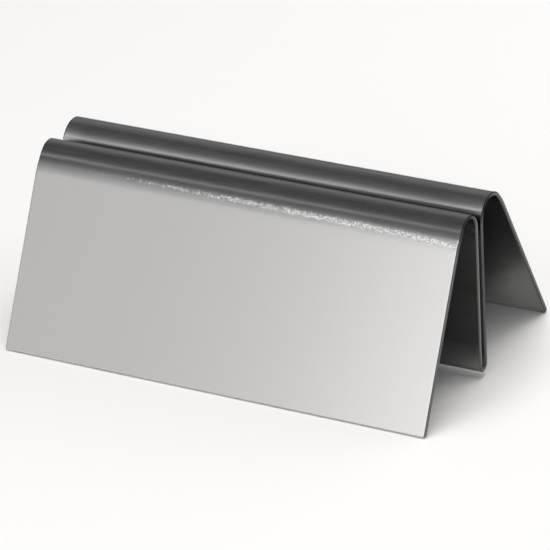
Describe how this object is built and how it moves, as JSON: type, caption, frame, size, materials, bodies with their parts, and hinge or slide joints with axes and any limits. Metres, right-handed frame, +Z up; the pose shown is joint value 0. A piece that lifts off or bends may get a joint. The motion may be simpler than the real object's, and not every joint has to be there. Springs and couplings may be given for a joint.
{
  "type": "menu holder",
  "caption": "Free-standing menu holder folded from satin stainless steel sheet: sloping legs, round crowns and a narrow upright slot between them that grips a card.",
  "frame": {"origin": "on the table, midway between the two lines on which the feet rest and at the middle of the length", "axes": "+X along the card slot, -Y towards the front leg, +Z up"},
  "size_m": [0.1, 0.0604, 0.0401],
  "materials": {
    "satin_steel": "satin, with fine grain running over the bends from foot to foot"
  },
  "bodies": {
    "root": {"folded_sheet": "satin_steel"}
  },
  "joints": []
}
